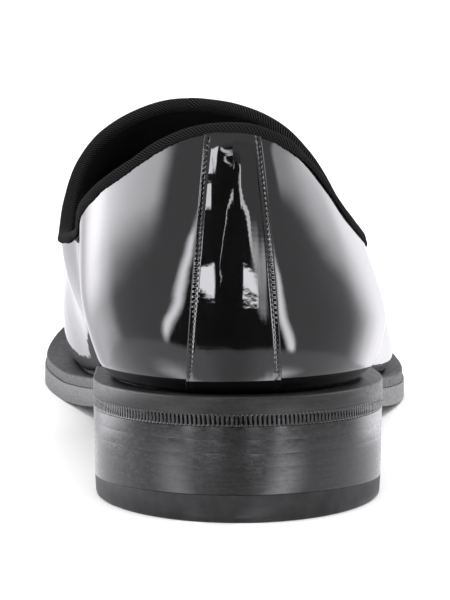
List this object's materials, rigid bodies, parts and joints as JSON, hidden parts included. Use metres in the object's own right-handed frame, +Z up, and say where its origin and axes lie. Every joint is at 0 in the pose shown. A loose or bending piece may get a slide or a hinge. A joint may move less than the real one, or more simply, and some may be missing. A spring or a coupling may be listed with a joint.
{
  "type": "loafer",
  "caption": "Right-foot black patent slip-on dress loafer with ribbon-bound topline, backstay, welted leather sole and stacked heel.",
  "frame": {"origin": "centre of the bounding box in plan, on the plane of the floor", "axes": "+X to the outer side of the foot, +Y from heel to toe, +Z up"},
  "size_m": [0.1046, 0.297, 0.0901],
  "materials": {
    "patent_leather": "patent gloss",
    "ribbon": "ribbed weave",
    "lining": "matte",
    "sole_leather": "satin",
    "heel_leather": "satin",
    "rubber": "matte"
  },
  "bodies": {
    "root": {"upper": "patent_leather", "backstay": "patent_leather", "topline_binding": "ribbon", "insole": "lining", "welt": "sole_leather", "outsole": "sole_leather", "heel_rand": "heel_leather", "heel_block": "heel_leather", "top_lift": "rubber"}
  },
  "joints": []
}
